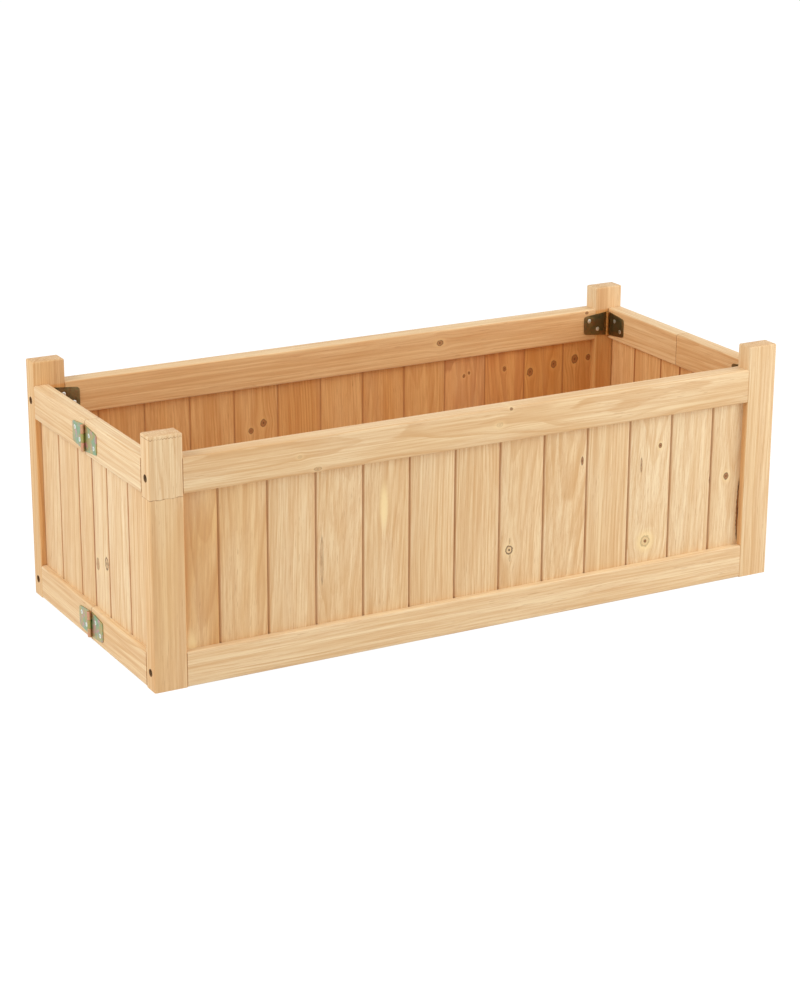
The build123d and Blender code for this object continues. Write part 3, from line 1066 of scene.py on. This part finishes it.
class Timberyard:
    """Picks each board's timber, the same each time for the same name."""

    @staticmethod
    def pick(name: str, tones: tuple[Tone, ...], long_board: bool = False,
             knots: tuple[Knot, ...] = ()) -> BoardLook:
        """Draws the timber of a board.

        Args:
            name: The board's name, which seeds the draw.
            tones: The tones to draw from.
            long_board: Whether it is a rail, which is cut along the grain.
            knots: Its knots.

        Returns:
            The look.
        """
        chance = random.Random(name)
        drift = chance.uniform(0.2, 0.6) if long_board else chance.uniform(1.0, 3.0)
        sawing = Sawing(chance.uniform(44, 80), chance.uniform(-70, 70), drift, chance.uniform(3.4, 5.4))
        return BoardLook(chance.choice(tones), sawing, chance.uniform(0.4, 0.7), knots)


@dataclass
class LongPanel:
    """The front or the back: two posts, two rails, thirteen slats, hinge leaves and screws."""

    depth: Depth
    workshop: Workshop
    hinges: HingeMaker
    timber: Timber = field(default_factory=Timber)
    post_screws: PostScrews = field(default_factory=PostScrews)
    pin_x: float = 472.5
    pin_y: float = 187.5
    slat_reach: float = 457.0

    @property
    def label(self) -> str:
        """The panel's name in the frame."""
        return self.depth.name.lower()

    def build(self) -> None:
        """Builds the panel's pieces."""
        self._metal()
        self._posts()
        self._rails()
        self._slats()

    def _hand(self, end: End) -> Hand:
        """Hand of the panel's own leaf at an end."""
        return Hand(-end.value * self.depth.value)

    def _turn(self) -> float:
        """Turn of the hinge's frame onto the panel's inner face."""
        return 0.0 if self.depth is Depth.BACK else 180.0

    def _pin(self, end: End) -> tuple[float, float]:
        """Place of a corner's pins."""
        return end.value * self.pin_x, self.depth.value * self.pin_y

    def _hinge_screws(self, end: End) -> list[Matrix]:
        """Places of a corner's hinge screws in the panel."""
        return self.hinges.screw_matrices(self._pin(end), self._turn(), self._hand(end))

    def _metal(self) -> None:
        """Builds the leaves and the screws."""
        shop = self.workshop
        hinge_screws, post_screws = [], []
        pattern = self.post_screws.screw(shop)
        for end in End:
            side = end.name.lower()
            leaves = self.hinges.at_rails(self.hinges.leaves[self._hand(end)], self._pin(end), self._turn())
            shop.hang(f"leaves_{side}_{self.label}_panel", shop.together(leaves), shop.shaded,
                      f"{side}_{self.label}_hinge_panel_leaves", "zinc_hinge", shop.brass)
            hinge_screws += [shop.moved(self.hinges.screw, place) for place in self._hinge_screws(end)]
            post_screws += [shop.moved(pattern, place)
                            for place in self.post_screws.places(self.timber, end, self.depth)]
        shop.hang(f"hinge_screws_{self.label}_panel", shop.together(hinge_screws), shop.bright,
                  f"{self.label}_panel_hinge_screws", "zinc_screw")
        shop.hang(f"post_screws_{self.label}", shop.together(post_screws), shop.dull,
                  f"{self.label}_post_screws", "zinc_screw")
        pattern.free()

    def _holes(self, end: End) -> Shape:
        """Cutter of every screw hole at one end of the panel."""
        shop = self.workshop
        hole = self.post_screws.hole(shop)
        cutters = [shop.moved(hole, place)
                   for place in self.post_screws.places(self.timber, end, self.depth)]
        hole.free()
        return shop.together(cutters + self.hinges.pilots(self._hinge_screws(end)))

    def _posts(self) -> None:
        """Builds the two corner posts, with stopped grooves for the outermost slats."""
        timber, shop = self.timber, self.workshop
        for end in End:
            middle = timber.post_middle(end, self.depth)
            post = shop.block((timber.post_width, timber.post_depth, timber.height), middle)
            shop.ease(post, None, timber.post_round, 3, lambda edge: max(v.co.z for v in edge.verts) > 1)
            groove_height = timber.slat_top + 0.5 - timber.slat_base
            groove = shop.block(
                (2 * timber.post_groove, timber.groove_width, groove_height),
                (middle[0] - end.value * timber.post_width / 2, middle[1],
                 timber.slat_base + groove_height / 2))
            post = shop.combined(post, groove)
            post = shop.combined(post, self._holes(end))
            name = f"post_{self.label}_{end.name.lower()}"
            board = BoardFrame(middle, (0, 0, 1), (0, self.depth.value, 0), timber.post_width / 2, True)
            glued = ()
            if (end, self.depth) == (End.LEFT, Depth.FRONT):
                glued = (GluedLength(268.6, 9.0, 1.2, BoardLook(Tone.STRAW, Sawing(80, 30, 0.6, 4), 0.6)),
                         GluedLength(350.5, 2.2, 1.8))
            # Left posts take the darker honey tone and right posts straw: painted shade, for the light that falls off
            # towards the left.
            look = Timberyard.pick(name, (Tone.HONEY if end is End.LEFT else Tone.STRAW,), True)
            bores = [place.translation for place in self.post_screws.places(timber, end, self.depth)]
            finish = shop.fir.material(name, board, look, random.Random(name), glued, inner=1.0, bores=bores)
            shop.hang(name, post, finish, f"{self.label}_{end.name.lower()}_post", "fir")

    def _rails(self) -> None:
        """Builds the two rails, each grooved for the slats."""
        timber, shop = self.timber, self.workshop
        length = timber.length - 2 * timber.post_width
        y = self.depth.value * (timber.width - timber.post_depth) / 2
        knots = {("front", "top"): (Knot(46.3, 319, 2.0, 1.2, 0.9, 0.3), Knot(28.1, 298.4, 3.0, 1.6, 0.15, 0.3, 0.15),
                                   Knot(-255.6, 277, 2.6, 2.0, 0.35, 0.2, 0.3),
                                   Knot(-282.3, 297.8, 2.0, 1.6, 0.2, 0.3, 0.15)),
                 ("back", "top"): (Knot(166.1, 302, 4.0, 1.3, 0.7, 0.5, 0.7), Knot(435.5, 317.8, 2, 1.4, 0.8, 0.2))}
        for level, z, side in (("top", timber.top_rail_middle, -1), ("bottom", timber.bottom_rail_middle, 1)):
            name = f"{level}_rail_{self.label}"
            outline = rail_outline(timber, timber.post_depth, side)
            rail = shop.drawn([(-length / 2, y + u, z + v) for u, v in outline], (length, 0.0, 0.0))
            round_rail(shop, timber, rail, 0, (y, z))
            for end in End:
                rail = shop.combined(rail, self._holes(end))
            board = BoardFrame((0.0, y, z), (1, 0, 0), (0, self.depth.value, 0), timber.rail_height / 2)
            tones = (Tone.STRAW, Tone.HONEY)
            if self.depth is Depth.FRONT:
                tones = (Tone.STRAW,) if level == "top" else (Tone.CREAM,)
            look = Timberyard.pick(name, tones, True,
                                   knots.get((self.label, level), ()))
            shop.hang(name, rail, shop.fir.material(name, board, look, random.Random(name)),
                      f"{self.label}_{level}_rail", "fir")

    def _slats(self) -> None:
        """Builds the thirteen slats."""
        timber, shop = self.timber, self.workshop
        y = self.depth.value * (timber.width - timber.post_depth) / 2
        joints = [(index - 5.5) * timber.slat_pitch for index in range(12)]
        place = Matrix.Translation((0, y, 0)) @ Matrix.Rotation(math.radians(180.0 - self._turn()), 4, "Z")
        row = slat_row([-self.slat_reach, *joints, self.slat_reach], timber.face_gap)
        for number, slat in enumerate(row, start=1):
            name = f"slat_{self.label}_{number:02d}"
            shape = shop.drawn(slat.outline(timber), (0.0, 0.0, timber.slat_top - timber.slat_base))
            shop.ease(shape, 2, 0.4, 2, lambda edge: edge.verts[0].co.y < -1.4)
            bmesh.ops.transform(shape, matrix=place, verts=shape.verts)
            centre = place @ Vector(((slat.start + slat.stop) / 2, 0, (timber.slat_base + timber.slat_top) / 2))
            board = BoardFrame(tuple(centre), (0, 0, 1), (0, self.depth.value, 0),
                               (slat.stop - slat.start) / 2)
            if self.depth is Depth.FRONT:
                look = FRONT_SLATS[number - 1]
            else:
                knots = tuple(Knot(x, z, radius, 1.2, 0.6, 0.2, 0.8) for x, z, radius in BACK_SLAT_KNOTS
                              if abs(x - centre.x) < board.half_width)
                look = Timberyard.pick(name, (Tone.HONEY, Tone.AMBER, Tone.ROSE), knots=knots)
            # The three back slats at the right end, by the inner corner, get the full painted inside shade; the rest
            # get three quarters of it.
            inner = 1.0 if self.depth is Depth.BACK and number <= 3 else 0.75
            finish = shop.fir.material(name, board, look, random.Random(name), painted_edge_shade=0.45, inner=inner)
            shop.hang(name, shape, finish, f"{self.label}_slats", "fir")


def rail_outline(timber: Timber, depth: float, side: int) -> list[tuple[float, float]]:
    """Section of a rail about its middle, with the slat groove on its top (1) or underside (-1)."""
    half, tall, groove = depth / 2, timber.rail_height / 2, timber.groove_width / 2
    floor = tall - timber.rail_groove
    points = [(-half, -tall), (half, -tall), (half, tall), (groove, tall), (groove, floor), (-groove, floor),
              (-groove, tall), (-half, tall)]
    return [(u, v * side) for u, v in points]


def round_rail(shop: Workshop, timber: Timber, rail: Shape, axis: int, middle: tuple[float, float]) -> None:
    """Rounds a rail's four long corners.

    Args:
        shop: Where it is made.
        timber: The bed's sections.
        rail: The rail.
        axis: The axis that it runs along, 0 or 1.
        middle: Its middle across it and in height.
    """
    def corner(edge: bmesh.types.BMEdge) -> bool:
        """Whether an edge is one of the four outer corners, not one of the groove's."""
        spot = edge.verts[0].co
        return abs(spot[1 - axis] - middle[0]) > 8 and abs(spot.z - middle[1]) > 20
    shop.ease(rail, axis, timber.rail_round, 4, corner)


@dataclass
class HalfEnd:
    """Half of an end: two short rails, three slats, two sets of hinge leaves and their screws."""

    end: End
    depth: Depth
    workshop: Workshop
    hinges: HingeMaker
    timber: Timber = field(default_factory=Timber)
    corner_pin: tuple[float, float] = (472.5, 187.5)
    middle_pin_x: float = 503.5
    split_gap: float = 1.0
    rail_length: float = 189.5
    slat_edges: tuple[float, ...] = (0.0, 51.0, 123.5, 189.5)

    @property
    def label(self) -> str:
        """The half's name in the frame."""
        return f"{self.end.name}_{self.depth.name}".lower()

    @property
    def hand(self) -> Hand:
        """Hand of the half's own leaves."""
        return Hand(self.end.value * self.depth.value)

    def build(self) -> None:
        """Builds the half's pieces."""
        shop, side, face = self.workshop, self.end.name.lower(), self.depth.name.lower()
        corner = ((self.end.value * self.corner_pin[0], self.depth.value * self.corner_pin[1]),
                  -90.0 * self.end.value)
        middle = ((self.end.value * self.middle_pin_x, 0.0), 90.0 * self.end.value)
        places = [place for pin, turn in (corner, middle)
                  for place in self.hinges.screw_matrices(pin, turn, self.hand)]
        leaf, knuckles = self.hinges.leaves[self.hand], self.hinges.knuckle_finish(self.hand)
        shop.hang(f"leaves_{self.label}_half", shop.together(self.hinges.at_rails(leaf, *corner)),
                  shop.shaded, f"{self.label}_hinge_half_leaves", "zinc_hinge", shop.brass)
        shop.hang(f"leaves_{side}_middle_{face}", shop.together(self.hinges.at_rails(leaf, *middle)),
                  shop.plating, f"{side}_middle_hinge_{face}_leaves", "zinc_hinge", knuckles)
        shop.hang(f"hinge_screws_{self.label}_half",
                  shop.together(shop.moved(self.hinges.screw, place) for place in places), shop.bright,
                  f"{self.label}_half_hinge_screws", "zinc_screw")
        self._rails(places)
        self._slats()

    def _rails(self, places: list[Matrix]) -> None:
        """Builds the two short rails."""
        timber, shop = self.timber, self.workshop
        x = self.end.value * (timber.length - timber.end_rail_depth) / 2
        y = self.depth.value * (self.split_gap + self.rail_length) / 2
        for level, z, side in (("top", timber.top_rail_middle, -1), ("bottom", timber.bottom_rail_middle, 1)):
            name = f"{level}_rail_{self.label}"
            outline = rail_outline(timber, timber.end_rail_depth, side)
            rail = shop.drawn([(x + u, y - self.rail_length / 2, z + v) for u, v in outline],
                              (0.0, self.rail_length, 0.0))
            round_rail(shop, timber, rail, 1, (x, z))
            rail = shop.combined(rail, shop.together(self.hinges.pilots(places)))
            board = BoardFrame((x, y, z), (0, 1, 0), (self.end.value, 0, 0), timber.rail_height / 2)
            look = Timberyard.pick(name, (Tone.CREAM, Tone.STRAW), True)
            shop.hang(name, rail, shop.fir.material(name, board, look, random.Random(name)),
                      f"{self.label}_{level}_rail", "fir")

    def _slats(self) -> None:
        """Builds the three slats, in order along the end."""
        timber, shop, sign = self.timber, self.workshop, self.end.value * self.depth.value
        edges = sorted(sign * (self.split_gap / 2 + edge) for edge in self.slat_edges)
        x = self.end.value * (timber.length - timber.end_rail_depth) / 2
        place = Matrix.Translation((x, 0, 0)) @ Matrix.Rotation(math.pi / 2 * self.end.value, 4, "Z")
        knots = (Knot(-10, 115.5, 4.8, 1.7, 0.35, 0.3, 0.6), Knot(-42.5, 126, 5.4, 1.5, 0.9, 0.2, 0.4))
        for number, slat in enumerate(slat_row(edges, timber.face_gap), start=1):
            name = f"slat_{self.label}_{number}"
            shape = shop.drawn(slat.outline(timber), (0.0, 0.0, timber.slat_top - timber.slat_base))
            shop.ease(shape, 2, 0.4, 2, lambda edge: edge.verts[0].co.y < -1.4)
            bmesh.ops.transform(shape, matrix=place, verts=shape.verts)
            centre = place @ Vector(((slat.start + slat.stop) / 2, 0, (timber.slat_base + timber.slat_top) / 2))
            board = BoardFrame(tuple(centre), (0, 0, 1), (self.end.value, 0, 0),
                               (slat.stop - slat.start) / 2)
            mine = tuple(knot for knot in knots if self.label == "left_front"
                         and abs(knot.across - centre.y) < board.half_width)
            tones = (Tone.CREAM,) if mine else (Tone.CREAM, Tone.STRAW)
            look = Timberyard.pick(name, tones, knots=mine)
            finish = shop.fir.material(name, board, look, random.Random(name), painted_edge_shade=0.8, inner=0.75)
            shop.hang(name, shape, finish, f"{self.label}_slat_{number}", "fir")


@dataclass
class HingePins:
    """The pins of the four corners and of the two middles, a top and a bottom one each."""

    workshop: Workshop
    hinges: HingeMaker
    corner: tuple[float, float] = (472.5, 187.5)
    middle_x: float = 503.5

    def build(self) -> None:
        """Builds the six pairs of pins."""
        for end in End:
            side = end.name.lower()
            for depth in Depth:
                face = depth.name.lower()
                self._pair(f"pins_{side}_{face}", (end.value * self.corner[0], depth.value * self.corner[1]),
                           f"{side}_{face}_hinge_pins")
            self._pair(f"pins_{side}_middle", (end.value * self.middle_x, 0.0), f"{side}_middle_hinge_pins")

    def _pair(self, name: str, pin: tuple[float, float], node: str) -> None:
        """Builds a top and a bottom pin."""
        shop = self.workshop
        shop.hang(name, shop.together(self.hinges.at_rails(self.hinges.pin, pin, 0.0)), shop.olive, node,
                  "zinc_hinge")


@dataclass(frozen=True)
class Studio:
    """Camera, lamps, sky and floor."""

    eye: Point = (-1.7240, -3.1027, 1.3142)
    yaw: float = 0.505
    pitch: float = 0.3224
    roll: float = -0.0047
    lens: float = 91.32
    sky: float = 0.68
    key: float = 66.0
    fill: float = 34.0

    def build(self) -> None:
        """Builds the studio."""
        scene = bpy.context.scene
        scene.view_settings.view_transform = "Standard"
        self._camera(scene)
        self._sky(scene)
        self._lamp("Key", (-3.2, -0.2, 2.6), 2.6, self.key)
        self._lamp("Fill", (2.0, -1.5, 1.5), 1.8, self.fill)
        self._floor()

    def _camera(self, scene: bpy.types.Scene) -> None:
        """Sets the camera as it stood for the photograph."""
        ahead = Vector((math.sin(self.yaw) * math.cos(self.pitch), math.cos(self.yaw) * math.cos(self.pitch),
                        -math.sin(self.pitch)))
        level = Vector((math.cos(self.yaw), -math.sin(self.yaw), 0.0))
        down = ahead.cross(level)
        right = math.cos(self.roll) * level + math.sin(self.roll) * down
        below = math.cos(self.roll) * down - math.sin(self.roll) * level
        camera = bpy.data.objects.new("Camera", bpy.data.cameras.new("Camera"))
        camera.data.lens, camera.data.sensor_width = self.lens, 36.0
        camera.matrix_world = Matrix.Translation(self.eye) @ Matrix(
            (right, -below, -ahead)).transposed().to_4x4()
        scene.collection.objects.link(camera)
        scene.camera = camera

    @staticmethod
    def _seen(sheet: NodeSheet) -> Socket:
        """1 for rays from the camera, and for those that mirror or look through something."""
        path = sheet.add("ShaderNodeLightPath").outputs
        either = sheet.math("MAXIMUM", path["Is Camera Ray"], path["Is Glossy Ray"])
        return sheet.math("MAXIMUM", either, path["Is Transmission Ray"])

    def _sky(self, scene: bpy.types.Scene) -> None:
        """Lights evenly from all round, and looks white."""
        world = bpy.data.worlds.new("Studio")
        world.use_nodes = True
        world.node_tree.nodes.clear()
        scene.world = world
        sheet = NodeSheet(world.node_tree)
        strength = sheet.math("MULTIPLY_ADD", self._seen(sheet), 1.0 - self.sky, self.sky)
        back = sheet.add("ShaderNodeBackground", {"Color": WHITE, "Strength": strength})
        sheet.feed(sheet.add("ShaderNodeOutputWorld").inputs["Surface"], back.outputs[0])

    @staticmethod
    def _lamp(name: str, place: Point, size: float, power: float) -> None:
        """Adds a square lamp that looks at the bed.

        Args:
            name: The lamp's name.
            place: Where it hangs, in metres.
            size: Its side, in metres.
            power: Its power in watts.
        """
        lamp = bpy.data.lights.new(name, "AREA")
        lamp.size, lamp.energy = size, power
        made = bpy.data.objects.new(name, lamp)
        aim = Vector((0.0, 0.0, 0.15)) - Vector(place)
        made.matrix_world = Matrix.Translation(place) @ aim.to_track_quat("-Z", "Y").to_matrix().to_4x4()
        bpy.context.scene.collection.objects.link(made)

    def _floor(self) -> None:
        """Lays a white floor that shows the bed's shadow."""
        made, sheet = empty_material("White floor")
        plain = sheet.add("ShaderNodeBsdfDiffuse", {"Color": (0.80, 0.80, 0.80, 1.0)})
        shadowed = sheet.add("ShaderNodeBsdfDiffuse", {"Color": (0.24, 0.24, 0.24, 1.0)})
        glow = sheet.add("ShaderNodeEmission", {"Color": WHITE, "Strength": 0.86})
        bright = sheet.add("ShaderNodeAddShader", {0: shadowed.outputs[0], 1: glow.outputs[0]})
        mixed = sheet.add("ShaderNodeMixShader", {0: self._seen(sheet), 1: plain.outputs[0],
                                                  2: bright.outputs[0]})
        show(sheet, mixed.outputs[0])
        shape = bmesh.new()
        bmesh.ops.create_grid(shape, x_segments=1, y_segments=1, size=12.0)
        bmesh.ops.translate(shape, vec=(0.0, 0.0, -0.0004), verts=shape.verts)
        floor = Workshop.mesh_object("floor", shape)
        floor.data.materials.append(made)


def main() -> None:
    """Builds the bed and the studio."""
    logging.basicConfig(level=logging.INFO, format="%(name)s: %(message)s")
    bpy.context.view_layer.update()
    workshop = Workshop()
    hinges = HingeMaker(workshop)
    for depth in Depth:
        LongPanel(depth, workshop, hinges).build()
        for end in End:
            HalfEnd(end, depth, workshop, hinges).build()
    HingePins(workshop, hinges).build()
    Studio().build()


if __name__ == "__main__":
    main()
